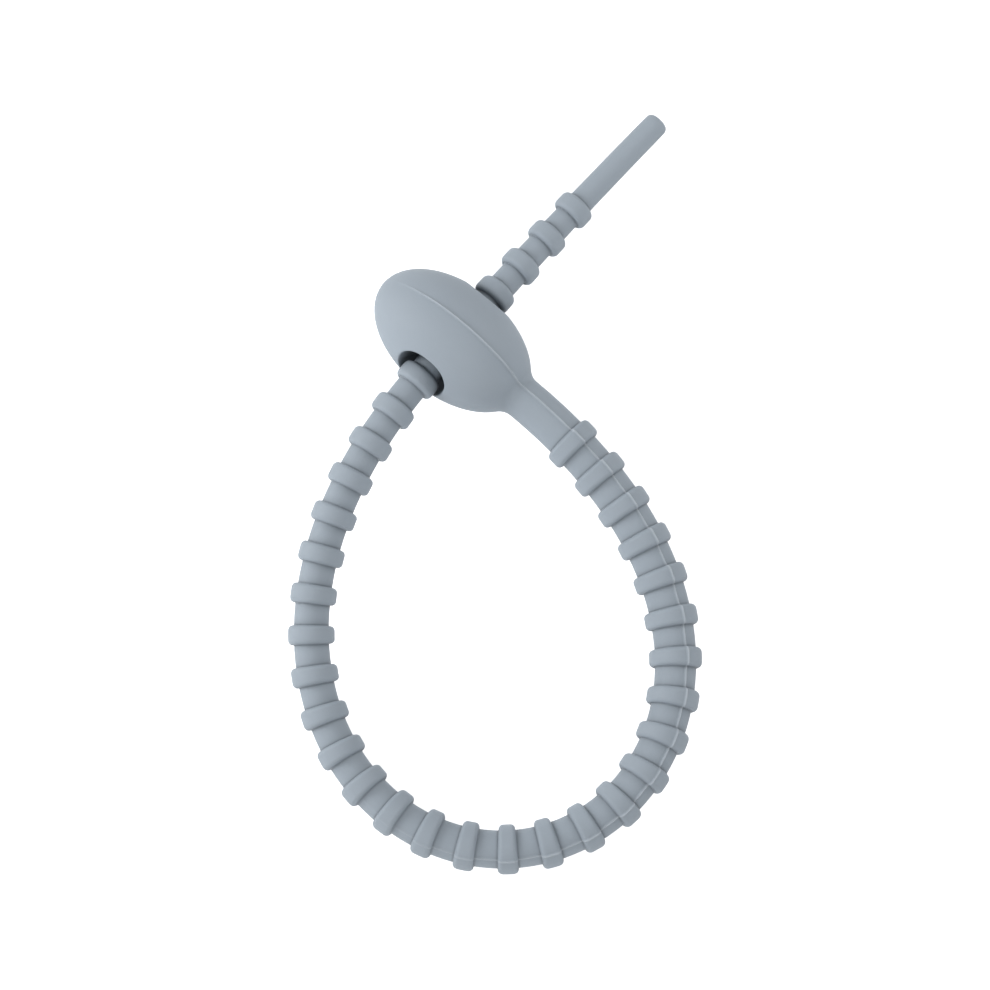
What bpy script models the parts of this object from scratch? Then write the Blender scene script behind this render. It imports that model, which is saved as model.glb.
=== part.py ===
"""Silicone cable tie: one moulded piece, its ribbed tail pushed through the hole in its head.

Metres, +Z up. The tie lies on the ground plane, and the origin is under the middle of its box.
Distances along the strap are counted from the head's middle, out along the neck and round the loop.
"""

import math

import bmesh
import bpy
import numpy as np
from mathutils import Vector

# Head, an olive on its side
HEAD_LENGTH = 0.0230
HEAD_WIDTH = 0.0144
HEAD_HEIGHT = 0.0144
HEAD_TURN = math.radians(40.4)
HEAD_ROLL = math.radians(12.0)

# Neck, from the head's end to the first rib's middle
NECK_LENGTH = 0.00877
NECK_FLARE = 0.0009
NECK_FLARE_LENGTH = 0.0018

# Strap, an oval that gets thinner from the first rib to the last, slowly at first
STRAP_THICKNESS_FIRST = 0.00532
STRAP_THICKNESS_LAST = 0.00330
STRAP_WIDTH_FIRST = 0.00629
STRAP_WIDTH_LAST = 0.00338
TAPER_POWER = 1.21

# Ribs, bands that go right round the strap
RIB_PITCH = 0.00514
RIB_LENGTH = 0.00240
RIB_HEIGHT = 0.00074
RIB_EDGE = 0.00050
RIBS_IN_LOOP = 30
RIBS_PAST_LIP = 5

# Plain round rod at the tail's end
ROD_LENGTH = 0.0152
ROD_DIAMETER = 0.00328
ROD_TIP_DIAMETER = 0.00314
ROD_EDGE = 0.00045

# Hole through the head: a wide mouth on each side and a thin lip that grips the strap
MOUTH_THICKNESS = 0.0078
MOUTH_WIDTH = 0.0093
MOUTH_SQUARENESS = 2.6
LIP_SHIFT = 0.00076
LIP_SLANT = 0.0001
LIP_CLEARANCE = 0.00030
RIB_CLEARANCE = 0.00040

# Bend of the loop: harmonics of its curvature, and the outward lean that the strap comes to on its way
BEND_COS_2 = -0.037
BEND_SIN_2 = -0.0376
BEND_COS_3 = -0.031
LAST_LEAN = math.radians(41.4)
LEAN_RUN = 0.105

# Lengths over which the strap comes down from the neck and climbs to the hole, and the tail's run
FALL_LENGTH = 0.0477
CLIMB_LENGTH = 0.066
TAIL_BEND = math.radians(-3.5)
TAIL_END_SLOPE = 0.05

# Fineness of the surface
HEAD_SIDES = 32
STRAP_SIDES = 16
HEAD_RINGS = 15
HEAD_CAP_SHARE = 0.4
FLARE_RINGS = 4
NECK_RINGS = 3
ROD_EDGE_RINGS = 2
ROUTE_STEPS = 1600
CLOSING_ROUNDS = 10
DIRECTION_STEP = 0.0002
CUTTER_OVERRUN = 0.0020
SHARP_ANGLE = math.radians(30.0)

COLOUR = (0.352, 0.418, 0.479, 1.0)
ROUGHNESS = 0.62

UP = Vector((0.0, 0.0, 1.0))
FULL_TURN = 2.0 * math.pi
HOLE_TURN = math.radians(270.0)

NECK_REACH = HEAD_LENGTH / 2 + NECK_LENGTH
LOOP_END = NECK_REACH + (RIBS_IN_LOOP - 0.5) * RIB_PITCH
LAST_RIB = NECK_REACH + (RIBS_IN_LOOP + RIBS_PAST_LIP - 1) * RIB_PITCH
ROD_START = LAST_RIB + RIB_LENGTH / 2
STRAP_END = ROD_START + ROD_LENGTH
HEAD_Z = math.hypot(HEAD_WIDTH / 2 * math.sin(HEAD_ROLL), HEAD_HEIGHT / 2 * math.cos(HEAD_ROLL))
LIP_Z = HEAD_Z - LIP_SHIFT * math.sin(HEAD_ROLL)


def ease(f):
    """Goes from 0 to 1 with level ends."""
    return 3 * f**2 - 2 * f**3


def end_slope(f):
    """Is 0 at both ends, level at 0 and with a slope of 1 at 1."""
    return f**3 - f**2


def start_slope(f):
    """Is 0 at both ends, with a slope of 1 at 0 and level at 1."""
    return f**3 - 2 * f**2 + f


def half_sizes(s):
    """Half the strap's thickness and half its width, between the ribs."""
    f = np.clip((s - NECK_REACH) / (LAST_RIB - NECK_REACH), 0, 1) ** TAPER_POWER
    thickness = STRAP_THICKNESS_FIRST + (STRAP_THICKNESS_LAST - STRAP_THICKNESS_FIRST) * f
    width = STRAP_WIDTH_FIRST + (STRAP_WIDTH_LAST - STRAP_WIDTH_FIRST) * f
    return thickness / 2, width / 2


def lean(s):
    """How far the strap's width leans outward from upright."""
    f = np.clip((s - NECK_REACH) / LEAN_RUN, 0, 1)
    return HEAD_ROLL + (LAST_LEAN - HEAD_ROLL) * np.sin(math.pi / 2 * f)


def ground_height(s):
    """Height of the strap's middle line where its ribs lie on the ground."""
    thickness, width = half_sizes(s)
    angle = lean(s)
    return np.hypot((width + RIB_HEIGHT) * np.cos(angle), (thickness + RIB_HEIGHT) * np.sin(angle))


def loop_height(s):
    """Height of the middle line: down from the neck, along the ground and up to the hole."""
    ground = ground_height(s)
    fall = np.clip(1 - (s - HEAD_LENGTH / 2) / FALL_LENGTH, 0, 1)
    climb = np.clip(1 - (LOOP_END - s) / CLIMB_LENGTH, 0, 1)
    height = ground + (HEAD_Z - ground) * ease(fall)
    height += (LIP_Z - ground_height(LOOP_END)) * ease(climb)
    return height - CLIMB_LENGTH * math.tan(HEAD_ROLL) * end_slope(climb)


def tail_height(s):
    """Height of the tail's middle line, from the hole down to the rod's end on the ground."""
    run = STRAP_END - LOOP_END
    f = (s - LOOP_END) / run
    height = LIP_Z + (ROD_TIP_DIAMETER / 2 - LIP_Z) * ease(f)
    return height - math.tan(HEAD_ROLL) * run * start_slope(f) - TAIL_END_SLOPE * run * end_slope(f)


def run_along(heading, height, step, start):
    """Walks along a heading and a height in steps of one length and gives the places passed."""
    climb = np.gradient(height, step)
    level = np.sqrt(1 - climb**2)
    east = np.cos(heading) * level
    north = np.sin(heading) * level
    x = start[0] + step * np.concatenate(([0], np.cumsum((east[1:] + east[:-1]) / 2)))
    y = start[1] + step * np.concatenate(([0], np.cumsum((north[1:] + north[:-1]) / 2)))
    return x, y


def loop_route():
    """Distances and places of the loop's middle line, bent so that it closes at the lip.

    It is straight in the head, from the middle out to the neck and from the mouth to the lip.
    """
    s = np.linspace(0, LOOP_END, ROUTE_STEPS + 1)
    step = s[1]
    height = loop_height(s)
    u = np.clip((s - HEAD_LENGTH / 2) / (LOOP_END - HEAD_LENGTH / 2 - HEAD_WIDTH / 2), 0, 1)
    shape = BEND_COS_2 * np.sin(2 * FULL_TURN * u) / (2 * FULL_TURN)
    shape += BEND_SIN_2 * (1 - np.cos(2 * FULL_TURN * u)) / (2 * FULL_TURN)
    shape += BEND_COS_3 * np.sin(3 * FULL_TURN * u) / (3 * FULL_TURN)

    def heading(even, odd):
        swing = even * np.sin(FULL_TURN * u) + odd * (1 - np.cos(FULL_TURN * u))
        return -HEAD_TURN - HOLE_TURN * (u + swing / FULL_TURN + shape)

    def end(even, odd):
        x, y = run_along(heading(even, odd), height, step, (0, 0))
        return np.array((x[-1], y[-1]))

    hole_heading = -HEAD_TURN - HOLE_TURN
    reach = LIP_SHIFT * math.cos(HEAD_ROLL)
    goal = reach * np.array((math.cos(hole_heading), math.sin(hole_heading)))
    bend = np.array((-0.5, 0.0))
    nudge = 1e-5
    for _ in range(CLOSING_ROUNDS):
        here = end(*bend)
        change_even = (end(bend[0] + nudge, bend[1]) - here) / nudge
        change_odd = (end(bend[0], bend[1] + nudge) - here) / nudge
        bend = bend - np.linalg.solve(np.column_stack((change_even, change_odd)), here - goal)
    x, y = run_along(heading(*bend), height, step, (0, 0))
    return s, x, y, height


def tail_route(start):
    """Distances and places of the tail's middle line, from the lip to the rod's end."""
    s = np.linspace(LOOP_END, STRAP_END, ROUTE_STEPS // 4 + 1)
    f = (s - LOOP_END) / (STRAP_END - LOOP_END)
    height = tail_height(s)
    heading = -HEAD_TURN - HOLE_TURN + TAIL_BEND * f
    x, y = run_along(heading, height, s[1] - s[0], start)
    return s, x, y, height


class Route:
    """The strap's middle line, read by distance from the head's middle."""

    def __init__(self):
        s, x, y, z = loop_route()
        more = tail_route((x[-1], y[-1]))
        self.s = np.concatenate((s, more[0][1:]))
        self.x = np.concatenate((x, more[1][1:]))
        self.y = np.concatenate((y, more[2][1:]))
        self.z = np.concatenate((z, more[3][1:]))

    def place(self, s):
        values = [float(np.interp(s, self.s, axis)) for axis in (self.x, self.y, self.z)]
        return Vector(values)

    def frame(self, s):
        """The middle line's place, and the strap's thickness and width directions there."""
        along = (self.place(s + DIRECTION_STEP) - self.place(s - DIRECTION_STEP)).normalized()
        outward = UP.cross(along).normalized()
        upright = along.cross(outward)
        angle = float(lean(s))
        across = outward * math.cos(angle) - upright * math.sin(angle)
        wide = upright * math.cos(angle) + outward * math.sin(angle)
        return self.place(s), across, wide


def oval(centre, across, wide, half_across, half_wide, sides, squareness=2.0):
    """Points of an oval round a centre. It is an ellipse at 2 and squarer above that."""
    points = []
    for k in range(sides):
        angle = FULL_TURN * k / sides
        cosine = math.cos(angle)
        sine = math.sin(angle)
        reach = (abs(cosine) ** squareness + abs(sine) ** squareness) ** (-1 / squareness)
        points.append(centre + (across * half_across * cosine + wide * half_wide * sine) * reach)
    return points


def loft(name, rings):
    """A closed skin over rings of points, with flat ends."""
    bm = bmesh.new()
    loops = [[bm.verts.new(point) for point in ring] for ring in rings]
    sides = len(rings[0])
    for here, there in zip(loops, loops[1:]):
        for k in range(sides):
            after = (k + 1) % sides
            bm.faces.new((here[k], here[after], there[after], there[k]))
    bm.faces.new(loops[0][::-1])
    bm.faces.new(loops[-1])
    bmesh.ops.recalc_face_normals(bm, faces=bm.faces[:])
    mesh = bpy.data.meshes.new(name)
    bm.to_mesh(mesh)
    bm.free()
    piece = bpy.data.objects.new(name, mesh)
    bpy.context.collection.objects.link(piece)
    return piece


def head_axes():
    """The head's directions: along its length, through its hole, and up across both."""
    length = Vector((math.cos(-HEAD_TURN), math.sin(-HEAD_TURN), 0))
    level = UP.cross(length)
    hole = level * math.cos(HEAD_ROLL) - UP * math.sin(HEAD_ROLL)
    return length, hole, length.cross(hole)


def head_and_neck(route):
    """The olive with its fillet and the neck, which ends inside the first rib."""
    length, hole, rise = head_axes()
    centre = Vector((0, 0, HEAD_Z))
    neck_thickness, neck_width = (float(size) for size in half_sizes(0))
    flare_part = (neck_thickness + NECK_FLARE) / (HEAD_WIDTH / 2)
    last = math.pi - math.asin(flare_part)
    rings = []
    for k in range(HEAD_RINGS):
        angle = last * (k + HEAD_CAP_SHARE) / (HEAD_RINGS - 1 + HEAD_CAP_SHARE)
        middle = centre - length * HEAD_LENGTH / 2 * math.cos(angle)
        half = math.sin(angle)
        rings.append(oval(middle, hole, rise, half * HEAD_WIDTH / 2, half * HEAD_HEIGHT / 2, HEAD_SIDES))

    flare_start = -HEAD_LENGTH / 2 * math.cos(last)
    slope = math.cos(last) / math.sin(last) / (HEAD_LENGTH / 2)
    for k in range(1, FLARE_RINGS + 1):
        f = k / FLARE_RINGS
        s = flare_start + NECK_FLARE_LENGTH * f
        tilt = NECK_FLARE_LENGTH * slope * start_slope(f)
        start_across = flare_part * HEAD_WIDTH / 2
        start_wide = flare_part * HEAD_HEIGHT / 2
        half_across = start_across + (neck_thickness - start_across) * ease(f) + tilt * HEAD_WIDTH / 2
        half_wide = start_wide + (neck_width - start_wide) * ease(f) + tilt * HEAD_HEIGHT / 2
        rings.append(oval(*route.frame(s), half_across, half_wide, HEAD_SIDES))

    neck_start = flare_start + NECK_FLARE_LENGTH
    for k in range(1, NECK_RINGS + 1):
        s = neck_start + (NECK_REACH - neck_start) * k / NECK_RINGS
        rings.append(oval(*route.frame(s), neck_thickness, neck_width, HEAD_SIDES))
    return loft("head_and_neck", rings)


def ribbed_strap(route):
    """The strap from the first rib's near face to the rod's rounded end."""
    rings = []

    def add(s, rise):
        thickness, width = (float(size) for size in half_sizes(s))
        rings.append(oval(*route.frame(s), thickness + rise, width + rise, STRAP_SIDES))

    for k in range(RIBS_IN_LOOP + RIBS_PAST_LIP):
        middle = NECK_REACH + k * RIB_PITCH
        near = middle - RIB_LENGTH / 2
        far = middle + RIB_LENGTH / 2
        if k > 0:
            add(near, 0)
        add(near, RIB_HEIGHT - RIB_EDGE)
        add(near + RIB_EDGE, RIB_HEIGHT)
        add(far - RIB_EDGE, RIB_HEIGHT)
        add(far, RIB_HEIGHT - RIB_EDGE)
        if far < ROD_START:
            add(far, 0)

    rings.append(oval(*route.frame(ROD_START), ROD_DIAMETER / 2, ROD_DIAMETER / 2, STRAP_SIDES))
    for k in range(ROD_EDGE_RINGS + 1):
        angle = math.pi / 2 * k / ROD_EDGE_RINGS
        s = STRAP_END - ROD_EDGE * (1 - math.sin(angle))
        radius = ROD_TIP_DIAMETER / 2 - ROD_EDGE * (1 - math.cos(angle))
        rings.append(oval(*route.frame(s), radius, radius, STRAP_SIDES))
    return loft("ribbed_strap", rings)


def hole_cutter():
    """The space of the hole: two flared mouths and the narrow ring between two ribs."""
    length, hole, rise = head_axes()
    centre = Vector((0, 0, HEAD_Z))
    lip_thickness, lip_width = (float(size) + LIP_CLEARANCE for size in half_sizes(LOOP_END))
    rib_thickness, rib_width = (float(size) + RIB_HEIGHT + RIB_CLEARANCE
                                for size in half_sizes(LOOP_END - RIB_PITCH / 2))
    lip_half = (RIB_PITCH - RIB_LENGTH) / 2 - RIB_CLEARANCE
    sides = []
    for side in (-1, 1):
        lip_at = LIP_SHIFT + side * lip_half
        room_at = lip_at + side * LIP_SLANT
        mouth_at = side * HEAD_WIDTH / 2
        lip = oval(centre + hole * lip_at, length, rise, lip_thickness, lip_width, HEAD_SIDES)
        room = oval(centre + hole * room_at, length, rise, rib_thickness, rib_width, HEAD_SIDES)
        mouth = oval(centre + hole * mouth_at, length, rise, MOUTH_THICKNESS / 2, MOUTH_WIDTH / 2, HEAD_SIDES,
                     MOUTH_SQUARENESS)
        flare = 1 + CUTTER_OVERRUN / abs(mouth_at - room_at)
        outer = [inside + (rim - inside) * flare for inside, rim in zip(room, mouth)]
        sides.append([outer, room, lip])
    return loft("hole_cutter", sides[0] + sides[1][::-1])


def combine(piece, other, operation):
    """Cuts or joins one solid with another, which is then removed."""
    modifier = piece.modifiers.new(operation.lower(), "BOOLEAN")
    modifier.operation = operation
    modifier.solver = "EXACT"
    modifier.object = other
    evaluated = piece.evaluated_get(bpy.context.evaluated_depsgraph_get())
    mesh = bpy.data.meshes.new_from_object(evaluated)
    piece.modifiers.clear()
    piece.data = mesh
    bpy.data.objects.remove(other)


def centre_on_ground(mesh):
    """Moves the mesh so that the origin is under the middle of its box."""
    points = np.array([vertex.co for vertex in mesh.vertices])
    low = points.min(axis=0)
    high = points.max(axis=0)
    for vertex in mesh.vertices:
        vertex.co.x -= (low[0] + high[0]) / 2
        vertex.co.y -= (low[1] + high[1]) / 2
        vertex.co.z -= low[2]


def silicone():
    """Matte grey-blue silicone rubber."""
    material = bpy.data.materials.new("silicone")
    material.use_nodes = True
    shader = material.node_tree.nodes["Principled BSDF"]
    shader.inputs["Base Color"].default_value = COLOUR
    shader.inputs["Roughness"].default_value = ROUGHNESS
    shader.inputs["Metallic"].default_value = 0.0
    return material


def main():
    for leftover in list(bpy.data.objects):
        bpy.data.objects.remove(leftover)
    route = Route()
    tie = head_and_neck(route)
    combine(tie, hole_cutter(), "DIFFERENCE")
    combine(tie, ribbed_strap(route), "UNION")
    tie.name = "cable_tie"
    tie.data.name = "cable_tie"
    centre_on_ground(tie.data)
    tie.data.materials.clear()
    tie.data.materials.append(silicone())
    tie.data.shade_smooth()
    tie.data.set_sharp_from_angle(angle=SHARP_ANGLE)


main()
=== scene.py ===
"""Silicone cable tie: head, neck and ribbed strap as one soft moulded piece on a pale studio floor.

Lengths are in metres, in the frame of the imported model, with +Z up.
Distances along the strap are counted from the head's middle, out along the neck and round the loop.
"""

import math

import bmesh
import bpy
import numpy as np
from bpy.props import FloatProperty, FloatVectorProperty, IntProperty, PointerProperty
from mathutils import Euler, Matrix, Vector


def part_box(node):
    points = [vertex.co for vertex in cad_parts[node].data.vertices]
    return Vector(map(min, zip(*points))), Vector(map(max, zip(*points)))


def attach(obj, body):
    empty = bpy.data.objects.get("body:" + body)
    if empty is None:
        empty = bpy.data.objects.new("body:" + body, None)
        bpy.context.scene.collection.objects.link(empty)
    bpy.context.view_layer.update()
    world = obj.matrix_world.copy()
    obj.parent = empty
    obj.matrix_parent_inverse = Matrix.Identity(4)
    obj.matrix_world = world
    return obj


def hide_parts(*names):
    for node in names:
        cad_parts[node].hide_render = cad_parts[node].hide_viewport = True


bl_info = {
    "name": "Silicone cable tie",
    "version": (1, 0, 0),
    "blender": (4, 5, 0),
    "location": "View3D > Sidebar > Cable tie",
    "description": "Builds a ribbed silicone cable tie closed in a loop, and a pale studio for it",
    "category": "Add Mesh",
}

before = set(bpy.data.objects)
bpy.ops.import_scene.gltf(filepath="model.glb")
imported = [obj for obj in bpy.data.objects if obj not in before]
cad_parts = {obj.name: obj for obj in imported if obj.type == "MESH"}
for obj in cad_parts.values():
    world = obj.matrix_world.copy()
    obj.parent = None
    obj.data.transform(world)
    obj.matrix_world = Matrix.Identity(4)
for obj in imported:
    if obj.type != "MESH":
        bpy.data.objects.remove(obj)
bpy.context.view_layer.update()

UP = Vector((0.0, 0.0, 1.0))
FULL_TURN = 2.0 * math.pi
HOLE_TURN = math.radians(270.0)

# Route of the loop: harmonics of its curvature, and the steps in which it is walked
BEND_COS_2 = -0.037
BEND_SIN_2 = -0.0376
BEND_COS_3 = -0.031
ROUTE_STEPS = 1600
CLOSING_ROUNDS = 10
FIRST_BEND = (-0.5, 0.0)
BEND_NUDGE = 1e-5
DIRECTION_STEP = 0.0002

# Columns round the strap, a quarter at a time: a few close to the seam, the others evenly apart
QUARTER_COLUMNS = 20
SEAM_COLUMNS = 5
SEAM_REACH = 0.00050
SEAM_SPREAD = 1.5
COLUMNS = 4 * QUARTER_COLUMNS

# Rows along the strap: six points on each rib and some on the shaft after it, with rounded corners
NECK_ROWS = 5
SHAFT_PARTS = (0.25, 0.50, 0.75)
RIB_ROWS = 6 + len(SHAFT_PARTS)
ROD_ROWS = 12
CORNER_STEPS = 5

# A rib's flat top ends this many edge roundings from its sides
EDGE_ROOM = 1.6

# The strap's section turns into the rod's over this length, and the rod's end closes to a small hole
ROD_BLEND = 0.0003
TIP_CLOSING = 0.85

# Head: columns round its hole, the window from which the neck leaves, and rows over its surface
WINDOW_COLUMNS = 8
WINDOW_ROWS = QUARTER_COLUMNS - WINDOW_COLUMNS
WINDOW_ANGLE = math.radians(39.0)
FREE_COLUMNS = 60
OUTER_ROWS = 8
RIM_ROWS = 5
WALL_ROWS = 3
LIP_ROWS = 4
FLARE_ROWS = 9
APPROACH_ROWS = 2
TINY = 1e-9

# Rounds in which the mouth's corner is brought onto the head's outside
RIM_ROUNDS = 12

# The head's seam rises from its far end, to full height over this share of half its length
SEAM_FADE = 0.9

# The mouth gets narrower below its shoulders, given by the sine of the turn round the hole
MOUTH_SHOULDER = 0.6
MOUTH_SHOULDER_RUN = 1.2


def length(name, description, default):
    return FloatProperty(name=name, description=description, default=default, min=0.0, precision=5,
                         unit="LENGTH")


def angle(name, description, degrees):
    return FloatProperty(name=name, description=description, default=math.radians(degrees), subtype="ANGLE")


def share(name, description, default):
    return FloatProperty(name=name, description=description, default=default, min=0.0, max=1.0,
                         subtype="FACTOR")


def number(name, description, default):
    return FloatProperty(name=name, description=description, default=default)


def whole(name, description, default, least):
    return IntProperty(name=name, description=description, default=default, min=least)


def colour(name, description, default):
    return FloatVectorProperty(name=name, description=description, default=default, size=3,
                               min=0.0, max=1.0, subtype="COLOR")


class HeadSizes(bpy.types.PropertyGroup):
    """Sizes of the head, its hole and the neck."""
    length: length("Length", "Head from end to end, along the neck's direction", 0.0230)
    width: length("Width", "Head along its hole", 0.0144)
    height: length("Height", "Head across both", 0.0144)
    turn: angle("Turn", "How far the neck points down from +X", 40.4)
    roll: angle("Roll", "How far the hole dips on its far side", 12.0)
    neck_length: length("Neck length", "From the head's end to the first rib's middle", 0.00877)
    flare: length("Flare", "How much thicker the neck is where it meets the head", 0.0009)
    flare_length: length("Flare length", "How far the flare reaches along the neck", 0.0018)
    mouth_thickness: length("Mouth length", "Hole's mouth, along the head", 0.0077)
    mouth_width: length("Mouth width", "Hole's mouth, across the head", 0.0088)
    mouth_squareness: number("Mouth squareness", "Of its upper half: an ellipse at 2, squarer above", 2.6)
    mouth_narrowing: share("Mouth narrowing", "How much narrower the mouth is in its lower half", 0.26)
    rim: length("Rim rounding", "How far the rounding of the mouth's rim reaches", 0.00030)
    lip_shift: length("Lip shift", "How far the inner lip sits towards the hole's far side", 0.00076)
    lip_clearance: length("Lip clearance", "Gap between the inner lip and the strap", 0.00030)
    rib_clearance: length("Rib clearance", "Gap between the hole's wall and the ribs", 0.00040)
    lip_rounding: length("Lip rounding", "Rounding of the inner lip's edges", 0.00030)


class StrapSizes(bpy.types.PropertyGroup):
    """Sizes of the strap, its ribs and its rod."""
    thickness_first: length("First thickness", "Strap at the first rib, in the plane of the loop", 0.00532)
    thickness_last: length("Last thickness", "Strap at the last rib, in the plane of the loop", 0.00330)
    width_first: length("First width", "Strap at the first rib, across the loop", 0.00629)
    width_last: length("Last width", "Strap at the last rib, across the loop", 0.00338)
    taper_power: number("Taper", "Above 1 the strap gets thinner slowly at first", 1.21)
    pitch: length("Rib pitch", "From one rib to the next", 0.00514)
    rib_length: length("Rib length", "Rib along the strap", 0.00240)
    rib_height: length("Rib height", "How far a rib stands out of the strap", 0.00074)
    rib_edge: length("Rib edge", "Rounding of a rib's edges", 0.00062)
    rib_root: length("Rib root", "Rounding where a rib meets the strap", 0.00008)
    ribs_in_loop: whole("Ribs in the loop", "Ribs before the head's lip", 30, 4)
    ribs_past_lip: whole("Ribs past the lip", "Ribs pulled through the head", 5, 1)
    rod_length: length("Rod length", "Plain rod at the tail's end", 0.0152)
    rod_diameter: length("Rod diameter", "Rod where it starts", 0.00328)
    rod_tip_diameter: length("Rod tip diameter", "Rod at its end", 0.00314)
    rod_edge: length("Rod edge", "Rounding of the rod's end", 0.00080)


class LieSizes(bpy.types.PropertyGroup):
    """How the tie lies: leaning in its loop, down from the neck and up to the hole."""
    lean: angle("Lean", "How far the strap leans outward half way round", 41.4)
    lean_run: length("Lean run", "Length over which the strap comes to that lean", 0.105)
    climb_lean: angle("Climb lean", "How much further it leans as it climbs to the hole", 14.0)
    fall: length("Fall", "Length over which the strap comes down from the neck", 0.0477)
    climb: length("Climb", "Length over which the strap climbs to the hole", 0.066)
    tail_bend: angle("Tail bend", "How far the tail turns after the hole", -3.5)
    tail_slope: number("Tail slope", "Slope of the rod's end to the ground", 0.05)


class SeamSizes(bpy.types.PropertyGroup):
    """The mould's parting line, a thin raised seam along both edges of the tie."""
    height: length("Seam height", "How far the seam's crest stands out", 0.00020)
    width: length("Seam width", "Half the crest's width", 0.00012)
    keel: length("Keel", "How far the surface rises towards the seam", 0.00008)
    keel_width: length("Keel width", "Distance over which it rises", 0.00045)
    fades_from: length("Fades from", "Distance along the strap at which it starts to fade", 0.080)
    fades_by: length("Fades by", "Distance along the strap at which it is gone", 0.112)


class Finish(bpy.types.PropertyGroup):
    """Colours and surface of the silicone, and of the studio."""
    silicone: colour("Silicone", "Colour of the silicone", (0.360, 0.414, 0.470))
    pale: colour("Pale silicone", "Colour of its palest patches", (0.380, 0.434, 0.490))
    # The seam's crest is paler partly in its own tone and partly as a painted highlight
    crest_tone_and_highlight: colour("Seam colour", "Colour of the thin crest of the seam", (0.490, 0.545, 0.600))
    roughness: share("Roughness", "Roughness of the silicone", 0.62)
    grain: length("Grain", "Size of the mould's fine grain", 0.00022)
    grain_depth: length("Grain depth", "Depth of the mould's fine grain", 0.000022)
    # The corners at the ribs and the hollows are darkened in the colour itself: painted shade
    crease_reach: length("Crease reach", "How far the darker tone of the corners reaches", 0.00035)
    crease_shade: share("Crease shade", "How much darker the corners are", 0.85)
    hollow_reach: length("Hollow reach", "How far the darker tone of the hollows reaches", 0.0025)
    hollow_shade: share("Hollow shade", "How much darker the hollows are", 0.68)
    floor: colour("Floor", "Colour of the floor", (0.860, 0.860, 0.860))


class TieSettings(bpy.types.PropertyGroup):
    """All of the tie's settings."""
    head: PointerProperty(type=HeadSizes)
    strap: PointerProperty(type=StrapSizes)
    lie: PointerProperty(type=LieSizes)
    seam: PointerProperty(type=SeamSizes)
    finish: PointerProperty(type=Finish)


def settings():
    return bpy.context.scene.tie_settings


def by_shown_name(group):
    """A group's settings by the names shown for them, which are also names of the strap tree's inputs."""
    return {setting.name: getattr(group, setting.identifier) for setting in group.bl_rna.properties}


def ease(f):
    """Goes from 0 to 1 with level ends."""
    return 3 * f**2 - 2 * f**3


def end_slope(f):
    """Is 0 at both ends, level at 0 and with a slope of 1 at 1."""
    return f**3 - f**2


def start_slope(f):
    """Is 0 at both ends, with a slope of 1 at 0 and level at 1."""
    return f**3 - 2 * f**2 + f


def run_along(heading, height, step, start):
    """Walks along a heading and a height in steps of one length and gives the places passed."""
    climb = np.gradient(height, step)
    level = np.sqrt(1 - climb**2)
    east = np.cos(heading) * level
    north = np.sin(heading) * level
    x = start[0] + step * np.concatenate(([0], np.cumsum((east[1:] + east[:-1]) / 2)))
    y = start[1] + step * np.concatenate(([0], np.cumsum((north[1:] + north[:-1]) / 2)))
    return x, y


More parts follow.
